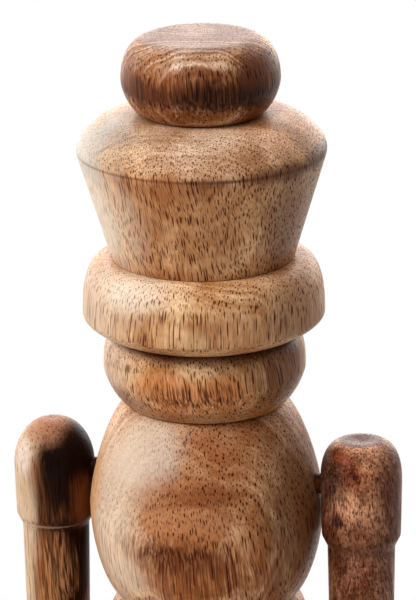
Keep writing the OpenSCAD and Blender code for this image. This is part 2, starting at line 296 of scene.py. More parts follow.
def cleanWood(paint, grain, cut):                                 # the colour before stains and pores
    lightness = ((grain.cloud - 0.5) * cut["cloud"] + (grain.ripple - 0.5) * cut["ripple"]
                 + (grain.fibre - 0.5) * cut["fibre"] + (grain.fine - 0.5) * cut["fine"]) * cut["figure"]
    lightness = lightness + (grain.rings - 0.5) * cut["ringContrast"] * 2 + cut["paleness"]
    colour = paint.mix(paint.between(lightness, *cut["toLight"]), cut["base"], cut["light"])
    return paint.mix(paint.between(lightness, *cut["toDeep"]), colour, cut["deep"])


def stainedAndLit(paint, here, grain, colour, stainsAndLight):                  # and how much of the pores still shows
    show = 1
    for given in stainsAndLight:
        stainAndLight = {**plainStainAndLight, **given}
        gap = paint.vector("SUBTRACT", here, stainAndLight["at"])
        gap = paint.vector("MULTIPLY", gap, tuple(1 / size for size in stainAndLight["size"]))
        away = (paint.length(gap) + (grain.fibre - 0.5) * stainAndLight["streak"]
                + (grain.cloud - 0.5) * stainAndLight["drift"])
        part = paint.between(away, 1 - stainAndLight["soft"], 1 + stainAndLight["soft"], stainAndLight["strength"], 0)
        if "strands" in stainAndLight:
            part = part * (1 - grain.strands * stainAndLight["strands"])
        target = paint.vector("MULTIPLY", colour, stainAndLight["wash"]) if "wash" in stainAndLight else stainAndLight["colour"]
        colour = paint.mix(part, colour, target)
        if "hides" in stainAndLight:
            show = show - part * stainAndLight["hides"]
    return colour, show


def mottled(paint, grain, colour, cut):                           # dark blots and darker pits
    for layer, tint in (("blot", umberAndShade), ("pits", tarryAndShade)):
        spots = paint.between(paint.noise(grain.place, *grainNoises[layer]), *cut[layer], 0, cut["mottle"])
        colour = paint.mix(spots, colour, tint)
    return colour


def wood(name, centre, stainsAndLight=(), **changes):
    cut = {**timber, **changes}
    paint = Paint(name)
    here = paint.scaled(paint.vector("SUBTRACT", paint.place(), tuple(centre)), 1 / mm)
    grain = grownGrain(paint, here, cut)
    colour, show = stainedAndLit(paint, here, grain, cleanWood(paint, grain, cut), stainsAndLight)
    if cut["mottle"]:
        colour = mottled(paint, grain, colour, cut)
    colour = paint.scaled(colour, (cut["shade"] + cut["shadeFibre"] * grain.fibre
                                   + cut["shadeFine"] * grain.fine))

    depth = grain.y * cut["flatten"]
    coarse, chance = paint.stems(grain.x, depth, grain.z, cut["poreSpacing"], cut["poreRadius"],
                                 cut["poreSwell"] - grain.rings)
    ticks = paint.stems(grain.x + cut["tickShift"], depth, grain.z, cut["poreSpacing"] * cut["tickSpacing"],
                        cut["poreRadius"] * cut["tickRadius"])[0]
    strength = cut["poreLeast"] + (1 - cut["poreLeast"]) * chance
    for mask in (ticks * cut["ticks"], coarse * strength):
        colour = paint.mix(mask * show, colour, paint.vector("MULTIPLY", colour, cut["poreTint"]))

    marks = paint.layers(grain.z * cut["marks"] + cut["seed"])
    height = (grain.fine * cut["fineDepth"] + grain.fibre * cut["fibreDepth"] + marks * cut["markDepth"]
              - coarse * cut["poreDepth"])
    rough = cut["roughness"] + cut["poreRoughness"] * coarse + cut["fineRoughness"] * (grain.fine - 0.5)
    return paint.finish({"Base Color": colour, "Roughness": rough, "IOR": cut["gloss"]}, height,
                        cut["relief"])


# turning: an outline of (radius, height) in millimetres, softened at its arrises and spun round an axis
onAxis = 1e-4                                                     # nearer than this is on the axis


def quarter(endR, endZ, bellyR, bellyZ, fullness=2, steps=40):    # from end to widest ring, 2 is an ellipse
    angles = np.linspace(0, math.pi / 2, steps)
    across, up = np.sin(angles) ** (2 / fullness), np.clip(np.cos(angles), 0, 1) ** (2 / fullness)
    return [(endR + (bellyR - endR) * a, bellyZ + (endZ - bellyZ) * u) for a, u in zip(across, up)]


def resample(outline, lengths, spots):
    return (np.interp(spots, lengths, outline[:, axis]) for axis in (0, 1))


def soften(outline, radius=0.3, step=0.08, mostTurn=4, mostGap=1.6):
    points = np.array(outline, float)
    lengths = np.r_[0, np.cumsum(np.hypot(*np.diff(points, axis=0).T))]
    count = int(lengths[-1] / step)
    r, z = resample(points, lengths, np.linspace(0, lengths[-1], count))
    reach = int(3 * radius / step)                                # as far as the bell curve counts
    weights = np.exp(-0.5 * (np.arange(-reach, reach + 1) * step / radius) ** 2)
    weights /= weights.sum()
    mirrored = np.r_[-r[reach:0:-1], r, -r[-2:-reach - 2:-1]]     # the outline goes on past the axis
    level = np.r_[z[reach:0:-1], z, z[-2:-reach - 2:-1]]
    r, z = np.convolve(mirrored, weights, "valid"), np.convolve(level, weights, "valid")
    r[0] = r[-1] = 0
    kept, bent, gone = [0], 0.0, 0.0                              # only the points that the curve needs
    heading = np.unwrap(np.arctan2(np.diff(z), np.diff(r)))
    for i in range(1, count - 1):
        bent += abs(heading[i] - heading[i - 1])
        gone += math.hypot(r[i] - r[i - 1], z[i] - z[i - 1])
        if bent > math.radians(mostTurn) or gone > mostGap:
            kept.append(i)
            bent, gone = 0.0, 0.0
    return [(max(r[i], 0), z[i]) for i in kept + [count - 1]]


def turned(name, outline, place, segments=144):
    mesh = bpy.data.meshes.new(name)
    shape = bmesh.new()
    angles = [2 * math.pi * i / segments for i in range(segments)]
    rings = []
    for r, z in outline:
        if r < onAxis:
            rings.append([shape.verts.new((0, 0, z * mm))])
        else:
            rings.append([shape.verts.new((r * mm * math.cos(a), r * mm * math.sin(a), z * mm))
                          for a in angles])
    for low, high in zip(rings, rings[1:]):
        for i in range(segments):
            j = (i + 1) % segments
            corners = [low[i % len(low)], low[j % len(low)], high[j % len(high)], high[i % len(high)]]
            corners = list(dict.fromkeys(corners))
            if len(corners) > 2:
                shape.faces.new(corners)
    bmesh.ops.recalc_face_normals(shape, faces=shape.faces)
    for face in shape.faces:
        face.smooth = True
    shape.transform(Matrix.Translation(place))
    shape.to_mesh(mesh)
    shape.free()
    piece = bpy.data.objects.new(name, mesh)
    bpy.context.scene.collection.objects.link(piece)
    return piece


def settle(piece):                                                # the modifiers' result becomes its own mesh
    graph = bpy.context.evaluated_depsgraph_get()
    mesh = bpy.data.meshes.new_from_object(piece.evaluated_get(graph))
    piece.modifiers.clear()
    piece.data = mesh


def drill(piece, start, end, diameter, sides=48):                 # a hole from start to end, in metres
    along = Vector(end) - Vector(start)
    bpy.ops.mesh.primitive_cylinder_add(vertices=sides, radius=diameter / 2, depth=along.length,
                                        location=(Vector(start) + Vector(end)) / 2,
                                        rotation=along.to_track_quat("Z", "Y").to_euler())
    bit = bpy.context.object
    hole = piece.modifiers.new("hole", "BOOLEAN")
    hole.operation, hole.solver, hole.object = "DIFFERENCE", "EXACT", bit
    settle(piece)
    bpy.data.objects.remove(bit)


def dress(piece, node, material, body="figure"):
    piece.data.materials.clear()
    piece.data.materials.append(material)
    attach(piece, body)
    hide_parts(node)


def measure(node):                        # corners and middle in metres, height and half width in millimetres
    low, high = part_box(node)
    return SimpleNamespace(low=low, high=high, middle=(low + high) / 2,
                           tall=(high.z - low.z) / mm, reach=(high.x - low.x) / 2 / mm)


# dowels run through the middle of the stack
bore = {"radius": 4.05, "depth": 7.5}


def boredFoot(footR):
    return [(0, bore["depth"]), (bore["radius"], bore["depth"]), (bore["radius"], 0), (footR, 0)]


def boredTop(topR, top):
    end = top - bore["depth"]
    return [(topR, top), (bore["radius"], top), (bore["radius"], end), (0, end)]


def flanks(plan, box):                                            # two quarters that meet at the widest ring
    return (quarter(plan["footR"], 0, box.reach, plan["bellyZ"], plan["footFull"])[1:]
            + quarter(plan["topR"], box.tall, box.reach, plan["bellyZ"], plan["topFull"])[-2::-1])


def scored(outline, ring, depth, width, step=0.1, margin=1):      # a fine line that the tool left
    points = np.array(outline, float)
    lengths = np.r_[0, np.cumsum(np.hypot(*np.diff(points, axis=0).T))]
    r, z = resample(points, lengths, np.arange(0, lengths[-1], step))
    near = np.where(r > bore["radius"] + margin, np.exp(-((z - ring) / width) ** 2), 0)
    return list(zip(r - near * depth, z)) + [tuple(points[-1])]


def bead(node, plan, footBored=True, topBored=True):
    box = measure(node)
    foot = boredFoot(plan["footR"]) if footBored else [(0, 0), (plan["footR"], 0)]
    cap = boredTop(plan["topR"], box.tall) if topBored else [(plan["topR"], box.tall), (0, box.tall)]
    outline = foot + flanks(plan, box) + cap[1:]
    for groove in plan.get("grooves", []):
        outline = scored(outline, *groove)
    piece = turned(node + ".turned", soften(outline), (box.middle.x, box.middle.y, box.low.z))
    dress(piece, node, wood(node + "Wood", box.middle, plan["stainsAndLight"], **plan["wood"]))


pompomPlan = {
    "footR": 13.8, "topR": 11.0, "bellyZ": 8.4, "footFull": 1.6, "topFull": 2.3,
    "grooves": [(13.1, 0.06, 0.18), (10.3, 0.07, 0.18)],          # height, depth and width
    "wood": {"seed": 1, "pith": (-4, 34), "ringContrast": 0.9, "ringWidth": 1.1, "light": (0.66, 0.4, 0.23),
             "base": (0.31, 0.115, 0.04), "paleness": 0.1, "gloss": 1.16},
    "stainsAndLight": [
        {"at": (4, -16, -0.3), "size": (24, 12, 5.2), "colour": (0.27, 0.08, 0.022), "strength": 0.95,
         "streak": 1},
        {"at": (-16, -9, 1), "size": (8, 10, 8), "wash": (0.58, 0.47, 0.4), "strength": 0.85, "streak": 1},
        {"at": (18, -6, 1), "size": (9, 11, 7), "colour": (0.07, 0.02, 0.007), "strength": 1,
         "strands": 0.3},
        {"at": (8.5, -16.5, -1), "size": (18, 11, 3.9), "colour": (0.022, 0.004, 0.001), "strength": 1,
         "streak": 1.2, "strands": 0.25},
        {"at": (-12, -15, -1), "size": (10, 8, 3.2), "colour": (0.08, 0.02, 0.006), "strength": 0.9,
         "streak": 1.4, "strands": 0.5},
        # painted sheen: a bluish brightening on the pompom's upper front-left
        {"at": (-3, -14, 6.3), "size": (11, 6, 3.5), "wash": (1.2, 1.5, 2), "strength": 0.9, "soft": 0.6},
        {"at": (7, -17, 4), "size": (9, 6, 2), "wash": (0.55, 0.42, 0.35), "strength": 0.7, "drift": 1.2},
        {"at": (15.5, -9, 4.6), "size": (6, 9, 4), "colour": (0.13, 0.038, 0.014), "strength": 0.7,
         "streak": 1, "strands": 0.4},
        # darker end grain on the flat top, greyed as painted sheen
        {"at": (0, 0, 9.3), "size": (15.3, 15.3, 3), "wash": (0.5, 0.47, 0.49), "strength": 0.85,
         "soft": 0.12, "streak": 0.2, "drift": 0.3},
    ],
}


def makePompom():
    print("pompom")
    bead("pompom", pompomPlan, topBored=False)


crownPlan = {
    "seatR": 13.8, "footR": 21.85, "fall": 8.8, "crestR": 4.3, "crestAngle": 38,
    "crestSteps": 24, "domeSteps": 40,
    "wood": {"seed": 2, "pith": (-10, 90), "lean": (0.06, 0.17), "wander": 3, "poreSpacing": 0.58,
             "poreRadius": 0.13, "flatten": 0.78, "ringWidth": 1, "ringContrast": 0.2, "figure": 0.8,
             "light": (0.78, 0.46, 0.235), "base": (0.41, 0.16, 0.05)},
    "stainsAndLight": [
        # painted sheen: the lit left side is creamed, and the top-left and top-front are washed paler and
        # bluer
        {"at": (-26, -14, -4), "size": (15, 16, 20), "colour": (0.72, 0.57, 0.43), "strength": 0.95,
         "soft": 0.6, "hides": 0.7},
        {"at": (-22, -14, 14), "size": (16, 16, 7), "wash": (0.67, 0.84, 1.0), "strength": 0.8, "soft": 0.6,
         "hides": 0.2},
        {"at": (5, -20, 14), "size": (17, 12, 6), "wash": (1.12, 1.5, 2.3), "strength": 0.8, "soft": 0.6},
        # painted shade: the crown top darkened right of the pompom, where its shadow falls
        {"at": (17, -4, 15), "size": (12, 14, 4), "wash": (0.8, 0.72, 0.7), "strength": 0.8, "soft": 0.5},
        # painted shade on the crown's right side
        {"at": (26, -8, -2), "size": (9, 16, 16), "colour": (0.24, 0.14, 0.085), "strength": 0.65,
         "soft": 0.5},
        {"at": (8, -26, -2), "size": (12, 9, 9), "colour": (0.4, 0.16, 0.055), "strength": 0.4,
         "soft": 0.6},
        {"at": (8, -6, 8.7), "size": (34, 34, 0.5), "colour": (0.17, 0.05, 0.016), "strength": 0.85,
         "soft": 0.4, "streak": 0.1, "drift": 0.15},
        {"at": (2, -28.5, 6.6), "size": (15, 6, 2.6), "colour": russet, "strength": 0.5, "streak": 1.2},
        {"at": (8.6, -28.5, 8.5), "size": (5, 4, 1.3), "colour": (0.09, 0.028, 0.012), "strength": 0.65,
         "streak": 1.2, "strands": 0.4},
        {"at": (24, -15, 8.6), "size": (12, 13, 2), "colour": (0.13, 0.045, 0.016), "strength": 0.75,
         "streak": 0.3},
        {"at": (29.6, -1.3, 9.7), "size": (3, 9, 2.5), "colour": (0.12, 0.07, 0.045), "strength": 0.7},
    ],
}


def makeCrown():
    print("hat crown")
    plan, box = crownPlan, measure("hat_crown")
    centreR, centreZ = box.reach - plan["crestR"], box.tall - plan["fall"]
    steep = math.radians(plan["crestAngle"])
    startR, startZ = centreR + plan["crestR"] * math.cos(steep), centreZ + plan["crestR"] * math.sin(steep)
    power = (startR - plan["seatR"]) / math.tan(steep) / (box.tall - startZ)
    away = centreR - plan["footR"]
    side = math.atan2(centreZ, away) - math.pi + math.acos(plan["crestR"] / math.hypot(away, centreZ))
    crest = [(centreR + plan["crestR"] * math.cos(a), centreZ + plan["crestR"] * math.sin(a))
             for a in np.linspace(side, steep, plan["crestSteps"])]
    dome = [(plan["seatR"] + (startR - plan["seatR"]) * s, box.tall - (box.tall - startZ) * s ** power)
            for s in np.linspace(1, 0, plan["domeSteps"])[1:]]
    outline = boredFoot(plan["footR"]) + crest + dome + boredTop(plan["seatR"], box.tall)[1:]
    piece = turned("hat_crown.turned", soften(outline), (0, 0, box.low.z))
    dress(piece, "hat_crown", wood("crownWood", box.middle, plan["stainsAndLight"], **plan["wood"]))


brimPlan = {
    "footR": 21.1, "topR": 22.35, "bellyZ": 4.5, "footFull": 1.45, "topFull": 2.7,
    "wood": {"seed": 3, "pith": (-5, 60), "lean": (-0.04, 0), "figure": 0.7},
    "stainsAndLight": [
        # painted sheen: the lit left and upper-left of the brim creamed
        {"at": (-22, -19, 2), "size": (12, 12, 10), "colour": (0.64, 0.5, 0.37), "strength": 0.6,
         "soft": 0.6, "hides": 0.5},
        {"at": (-11, -24, 7), "size": (10, 8, 5), "colour": creamAndSheen, "strength": 0.5, "soft": 0.6,
         "hides": 0.4},
        # painted shade on the brim's right side
        {"at": (27, -9.8, 0), "size": (10, 14, 10), "colour": (0.26, 0.13, 0.07), "strength": 0.65,
         "soft": 0.5},
        # painted sheen: the brim's upper front washed paler and bluer
        {"at": (0, -25, 6.5), "size": (18, 9, 4.5), "wash": (1.3, 1.5, 1.7), "strength": 0.8, "soft": 0.6},
        {"at": (7, -28, 0.3), "size": (8, 3, 1.4), "colour": (0.36, 0.12, 0.05), "strength": 0.4},
        # painted shade along the brim's lower edge
        {"at": (12, 0, -10), "size": (44, 44, 3.2), "colour": (0.17, 0.055, 0.018), "strength": 0.85,
         "streak": 0.2},
        {"at": (5.1, -28.6, -3.2), "size": (3.6, 3, 3), "colour": (0.62, 0.42, 0.22), "strength": 0.35,
         "soft": 0.35},
    ],
}


def makeBrim():
    print("hat brim")
    plan, box = brimPlan, measure("hat_brim")
    outline = ([(0, 0), (bore["radius"], 0), (plan["footR"], 0)] + flanks(plan, box)
               + [(bore["radius"], box.tall), (0, box.tall)])
    piece = turned("hat_brim.turned", soften(outline), (0, 0, box.low.z))
    dress(piece, "hat_brim", wood("brimWood", box.middle, plan["stainsAndLight"], **plan["wood"]))


headPlan = {
    "footR": 18.9, "topR": 20.3, "bellyZ": 9.0, "footFull": 1.4, "topFull": 2.7,
    "wood": {"seed": 4, "pith": (0, 60), "lean": (0.1, 0.1)},
    "stainsAndLight": [
        # painted shadow: the head's top darkened under the brim
        {"at": (12, 0, 9.6), "size": (36, 36, 2.6), "colour": (0.17, 0.055, 0.018), "strength": 0.85,
         "streak": 0.2},
        # painted sheen on the head's left side, painted shade on its right
        {"at": (-20, -14, 4), "size": (9, 10, 9), "colour": creamAndSheen, "strength": 0.5, "soft": 0.6,
         "hides": 0.4},
        {"at": (23, -8, 2), "size": (11, 10, 9), "colour": umberAndShade, "strength": 0.75, "soft": 0.5},
        {"at": (3, -22, -7), "size": (22, 12, 3), "colour": (0.3, 0.11, 0.035), "strength": 0.7},
        {"at": (3, -24.3, -0.2), "size": (16, 7, 4.6), "colour": (0.66, 0.24, 0.075), "strength": 0.9,
         "streak": 0.7, "strands": 0.2},
        {"at": (4, -24.3, -0.6), "size": (14, 7, 3.2), "colour": (0.1, 0.02, 0.004), "strength": 0.9,
         "streak": 1.2, "strands": 0.9},
        {"at": (-14.5, -17.5, -4.7), "size": (6, 6, 3.2), "colour": (0.24, 0.11, 0.08), "strength": 0.55},
        {"at": (-13.9, -19.8, 4.2), "size": (0.9, 0.9, 1.1), "colour": umberAndShade, "strength": 0.8},
    ],
}


def makeHead():
    print("head")
    bead("head", headPlan)


torsoPlan = {
    "footR": 20.0, "topR": 18.9, "bellyZ": 23.9, "footFull": 1.77, "topFull": 1.46,
    "wood": {"seed": 5, "pith": (-6, 45), "lean": (0.03, 0.24), "ringContrast": 0.5,
             "light": (0.75, 0.43, 0.22), "base": (0.36, 0.13, 0.042), "gloss": 1.15},
    "stainsAndLight": [
        # painted sheen: the lit left side creamed
        {"at": (-20, -20, 2), "size": (14, 14, 24), "colour": (0.65, 0.51, 0.38), "strength": 0.7,
         "soft": 0.6, "hides": 0.85},
        {"at": (-26, -11.5, 3), "size": (4, 5, 17), "colour": (0.6, 0.28, 0.11), "strength": 0.7,
         "streak": 1.2, "drift": 1.4},
        {"at": (8, -23, 17), "size": (14, 12, 14), "colour": (0.33, 0.11, 0.037), "strength": 0.6,
         "soft": 0.5},
        # painted sheen: a pale patch on the upper left
        {"at": (-8.5, -21, 18), "size": (9, 8, 10), "colour": (0.6, 0.47, 0.36), "strength": 0.75,
         "soft": 0.4, "hides": 0.7},
        # painted shade on the torso's right side
        {"at": (26, -10, 3), "size": (11, 14, 26), "colour": (0.13, 0.05, 0.02), "strength": 0.8,
         "soft": 0.5},
        {"at": (4, -26.1, 6), "size": (16, 8, 8), "colour": (0.38, 0.14, 0.05), "strength": 0.6,
         "soft": 0.4},
        {"at": (6.1, -26.1, 9.4), "size": (11, 7, 2.6), "colour": (0.2, 0.05, 0.012), "strength": 0.75,
         "strands": 0.3},
        {"at": (3, -27.2, 3), "size": (13.5, 6, 5.2), "colour": (0.26, 0.07, 0.02), "strength": 0.6,
         "soft": 0.1, "streak": 0.3},
        {"at": (2.4, -27.2, 2.4), "size": (12.8, 6, 4.8), "colour": (0.5, 0.22, 0.1), "strength": 0.85,
         "soft": 0.12, "streak": 0.3, "strands": 0.3},
        {"at": (4, -27.5, -7), "size": (18, 12, 9), "colour": (0.43, 0.13, 0.032), "strength": 0.8,
         "streak": 1.6, "strands": 0.5},
        {"at": (0, -27.5, -6.5), "size": (12, 8, 4.6), "colour": (0.07, 0.011, 0.001), "strength": 1,
         "soft": 0.7, "streak": 1.6, "strands": 0.5},
        {"at": (7, -27, -11), "size": (14, 10, 6), "colour": (0.18, 0.04, 0.01), "strength": 0.8,
         "streak": 2, "strands": 0.9},
        {"at": (-14, -23, -13), "size": (5, 6, 5), "colour": creamAndSheen, "strength": 0.4, "streak": 1.6,
         "hides": 0.4},
        {"at": (0.4, -22.1, 21.3), "size": (0.5, 0.5, 0.8), "colour": umberAndShade, "strength": 0.7},
    ],
}


def makeTorso():
    print("torso")
    bead("torso", torsoPlan)


hipsPlan = {
    "footR": 20.5, "topR": 20.0, "bellyZ": 9.5, "footFull": 2.0, "topFull": 2.0,
    "wood": {"seed": 6},
    "stainsAndLight": [
        # painted sheen on the left side, painted shade on the right
        {"at": (-19, -17, 0), "size": (12, 12, 12), "colour": creamAndSheen, "strength": 0.5, "soft": 0.6,
         "hides": 0.4},
        {"at": (20, -10, 0), "size": (12, 12, 12), "colour": umberAndShade, "strength": 0.7, "soft": 0.5},
    ],
}


def makeHips():
    print("hips")
    bead("hips", hipsPlan, footBored=False)


legPlan = {
    "ankleR": 7.5, "shaftR": 8.5, "shaftZ": 24, "rollR": 9.7, "rollH": 4.6, "kneeR": 7.5, "thighR": 8.9,
    "boreR": 3.05, "ankleBore": 4.5, "hipBore": 7.5, "soft": 0.25, "segments": 96, "seed": 8,
    "wood": {"light": (0.42, 0.19, 0.085), "base": (0.26, 0.1, 0.045), "deep": (0.1, 0.035, 0.016),
             "mottle": 0.6},
    "stainsAndLight": [
        # painted light and shade: paler on the left side, darker on the right
        {"at": (-9, -4, 10), "size": (5, 9, 40), "colour": (0.5, 0.28, 0.14), "strength": 0.6,
         "streak": 1.5},
        {"at": (8, -5, -10), "size": (6, 9, 30), "colour": tarryAndShade, "strength": 0.8, "streak": 1.5},
    ],
}


def makeLegs():
    print("legs")
    plan = legPlan
    for side, node in ((1, "left_leg"), (-1, "right_leg")):
        box = measure(node)
        rollZ, kneeZ = plan["shaftZ"] + plan["rollH"] / 2, plan["shaftZ"] + plan["rollH"]
        hipZ = box.tall - plan["hipBore"]
        foot = [(0, plan["ankleBore"]), (plan["boreR"], plan["ankleBore"]), (plan["boreR"], 0),
                (plan["ankleR"], 0)]
        roll = (quarter(plan["shaftR"], plan["shaftZ"], plan["rollR"], rollZ)
                + quarter(plan["kneeR"], kneeZ, plan["rollR"], rollZ)[-2::-1])
        thigh = [(plan["thighR"], box.tall), (plan["boreR"], box.tall), (plan["boreR"], hipZ), (0, hipZ)]
        piece = turned(node + ".turned", soften(foot + roll + thigh, plan["soft"]),
                       (box.middle.x, box.middle.y, box.low.z), plan["segments"])
        seed = plan["seed"] + side
        dress(piece, node, wood(node + "Wood", box.middle, plan["stainsAndLight"], seed=seed, **plan["wood"]))


armPlan = {
    "capL": 24, "edgeR": 9.6, "chamfer": 2.8, "sleeveR": 8.2, "wristR": 7.4, "handR": 6.1, "handL": 14,
    "handEnd": 6.3, "pinDepth": 12.5, "pinD": 5.1, "segments": 112,
    "inward": 0.24,                                               # close against the torso, as in the picture
}
rightArmPlan = {
    **armPlan, "domeH": 11.3, "domeFull": 1.95, "flatR": 1.5, "dish": 0.1,
    "wood": {"seed": 10, "lean": (0.06, 0), "light": (0.24, 0.075, 0.024), "base": (0.04, 0.011, 0.004),
             "deep": (0.012, 0.004, 0.002), "paleness": 0, "figure": 1.6, "poreTint": (0.5, 0.38, 0.28),
             "gloss": 1.12},
    "stainsAndLight": [
        {"at": (-6, -8, 20), "size": (9, 9, 60), "colour": (0.4, 0.15, 0.05), "strength": 0.9, "soft": 0.35,
         "streak": 0.9, "drift": 0.9, "strands": 0.5},
        {"at": (-3, -9, 26), "size": (4.5, 7, 30), "colour": (0.16, 0.035, 0.01), "strength": 0.75,
         "streak": 1.4, "drift": 1.2, "strands": 0.7},
        {"at": (5, -8, 35), "size": (7, 8, 12), "colour": (0.006, 0.0012, 0.0004), "strength": 1,
         "soft": 0.35, "streak": 1, "drift": 0.9},
        {"at": (1.5, -9, 25), "size": (5, 7, 9), "colour": (0.02, 0.005, 0.0015), "strength": 0.9,
         "streak": 1.2, "strands": 0.5},
        {"at": (6, -8, 12), "size": (6, 8, 13), "colour": (0.012, 0.003, 0.001), "strength": 0.9,
         "soft": 0.4, "streak": 1.2},
        {"at": (9, -4, 27), "size": (3, 7, 7), "colour": (0.22, 0.065, 0.018), "strength": 0.6,
         "streak": 1.5},
        {"at": (1, -8.5, 8), "size": (4.2, 7, 10), "colour": (0.5, 0.21, 0.085), "strength": 0.85,
         "streak": 2, "drift": 1.6, "strands": 0.95},
        # paler wood along the left side, and painted sheen there
        {"at": (-10, -8, 30), "size": (7.3, 12, 60), "colour": (0.6, 0.42, 0.27), "strength": 0.9,
         "soft": 0.3, "streak": 0.5, "drift": 0.8},
        # painted highlight: a white sheen patch on the cap's upper left
        {"at": (-6, -8.5, 38), "size": (2.6, 5, 5), "colour": (0.74, 0.6, 0.52), "strength": 0.6,
         "hides": 0.6},
        # reddish-brown cap top, lightened as a painted highlight
        {"at": (-1, -3, 45.5), "size": (7, 8, 4), "colour": (0.4, 0.18, 0.1), "strength": 0.85,
         "strands": 0.3},
        {"at": (8.5, -3, 41), "size": (5, 9, 7), "colour": (0.008, 0.002, 0.001), "strength": 0.95,
         "soft": 0.4},
        # wear and a painted highlight along the chamfer's lower edge
        {"at": (-3, -8, 20.6), "size": (10, 8, 0.35), "colour": (0.6, 0.36, 0.22), "strength": 0.35,
         "soft": 0.4, "streak": 0.1, "drift": 0.1},
    ],
}
leftArmPlan = {
    **armPlan, "domeH": 10.5, "domeFull": 2.5, "flatR": 3.4, "dish": 0.5,
    "wood": {"seed": 12, "lean": (0.04, 0.3), "light": (0.7, 0.33, 0.18), "base": (0.33, 0.095, 0.037),
             "deep": (0.08, 0.015, 0.005), "paleness": 0.3, "figure": 1.9, "poreTint": (0.3, 0.14, 0.08),
             "mottle": 0.6},
    "stainsAndLight": [
        {"at": (0, -8, 14), "size": (9, 9, 13), "colour": (0.12, 0.036, 0.014), "strength": 0.7,
         "strands": 0.6},
        {"at": (0, 0, 47.5), "size": (6.6, 6.6, 3), "colour": (0.14, 0.07, 0.06), "strength": 0.8,
         "soft": 0.1, "streak": 0.2, "drift": 0.4},
        {"at": (10, -4, 30), "size": (5, 9, 60), "colour": (0.11, 0.045, 0.028), "strength": 0.8,
         "strands": 0.3},
        {"at": (-7, -8, 26), "size": (4.2, 7, 13), "colour": (0.12, 0.026, 0.01), "strength": 0.85,
         "soft": 0.4, "streak": 1.4, "strands": 0.5},
        {"at": (-7, -7.5, 38), "size": (4.6, 7, 7.5), "colour": (0.015, 0.006, 0.005), "strength": 0.95,
         "strands": 0.2},
        {"at": (0, -8, 23), "size": (13, 10, 6.5), "wash": (0.5, 0.4, 0.34), "strength": 0.9, "soft": 0.6},
        {"at": (-7.6, -3.2, 43.4), "size": (2, 3, 2), "colour": (0.25, 0.22, 0.22), "strength": 0.35},
        {"at": (-4, -9, 28), "size": (1.6, 4, 1.6), "colour": (0.02, 0.012, 0.016), "strength": 0.8},
        {"at": (-9.3, -2, 26), "size": (2, 6, 6), "colour": (0.42, 0.1, 0.02), "strength": 0.8,
         "streak": 1},
        {"at": (-3, -8, 43.6), "size": (3, 4, 0.8), "colour": (0.3, 0.05, 0.012), "strength": 0.7,
         "streak": 1},
    ],
}


def makeArms():
    print("arms")
    for side, node, plan in ((1, "left_arm", leftArmPlan), (-1, "right_arm", rightArmPlan)):
        box = measure(node)
        edge, wrist = box.tall - plan["capL"], plan["handL"]
        hand = quarter(0, 0, plan["handR"], plan["handEnd"])
        sleeve = [(plan["handR"], wrist), (plan["wristR"], wrist + plan["wristR"] - plan["handR"]),
                  (plan["sleeveR"], edge - plan["chamfer"]), (plan["edgeR"], edge)]
        dome = quarter(plan["flatR"], box.tall, box.reach, box.tall - plan["domeH"], plan["domeFull"])[::-1]
        outline = hand + sleeve + dome + [(0, box.tall - plan["dish"])]
        box.middle.x -= side * plan["inward"] * mm
        piece = turned(node + ".turned", soften(outline), (box.middle.x, box.middle.y, box.low.z),
                       plan["segments"])
        pivot, inner = box.high.z - plan["capL"] / 2 * mm, box.middle.x - side * box.reach * mm
        drill(piece, (inner - side * mm, 0, pivot), (inner + side * plan["pinDepth"] * mm, 0, pivot),
              plan["pinD"] * mm)
        dress(piece, node, wood(node + "Wood", box.middle, plan["stainsAndLight"], **plan["wood"]), node)


# a boot: a rounded foot under an upright collar, melted together
bootPlan = {
    "toeH": 10, "soleH": 2.4, "flatShare": 0.3, "toeFull": 2.2, "toeSteps": 16, "segments": 96,
    "collarFoot": 1, "collarR": 9.1, "collarTopR": 8.3, "collarSteps": 10,
    "voxel": 0.4, "smoothing": 0.5, "rounds": 6, "seed": 15,
    "wood": {"light": (0.3, 0.12, 0.05), "base": (0.16, 0.06, 0.027), "deep": (0.06, 0.02, 0.01),
             "mottle": 0.7},
}


def makeBoots():
    print("boots")
    plan = bootPlan
    for side, node in ((1, "left_boot"), (-1, "right_boot")):
        box = measure(node)
        straight = (box.high.y - box.low.y) / mm - 2 * box.reach
        instep = quarter(box.reach * plan["flatShare"], plan["toeH"], box.reach, plan["soleH"],
                         plan["toeFull"], plan["toeSteps"])[::-1]
        foot = turned(node + ".turned", [(0, 0), (box.reach, 0)] + instep + [(0, plan["toeH"])], (0, 0, 0),
                      plan["segments"])
        for vertex in foot.data.vertices:                         # pull the toe half forward
            if vertex.co.y < -onAxis * mm:
                vertex.co.y -= straight * mm
        rolled = plan["collarR"] - plan["collarTopR"]
        shoulder = quarter(plan["collarTopR"], box.tall, plan["collarR"], box.tall - rolled,
                           steps=plan["collarSteps"])[::-1]
        collar = turned("collar", [(0, plan["collarFoot"]), (plan["collarR"], plan["collarFoot"])] + shoulder
                        + [(0, box.tall)], (0, 0, 0), plan["segments"])
        foot.location = collar.location = (box.middle.x, 0, box.low.z)
        with bpy.context.temp_override(active_object=foot, selected_editable_objects=[foot, collar]):
            bpy.ops.object.join()
        melt = foot.modifiers.new("melt", "REMESH")
        melt.mode, melt.voxel_size = "VOXEL", plan["voxel"] * mm
        smooth = foot.modifiers.new("smooth", "SMOOTH")
        smooth.factor, smooth.iterations = plan["smoothing"], plan["rounds"]
        settle(foot)
        for face in foot.data.polygons:
            face.use_smooth = True
        dress(foot, node, wood(node + "Wood", box.middle, seed=plan["seed"] + side, **plan["wood"]))


standPlan = {"edgeR": 4, "bevel": 1, "soft": 0.25, "segments": 192,
             "wood": {"seed": 20, "pith": (-50, 90), "figure": 0.6}}


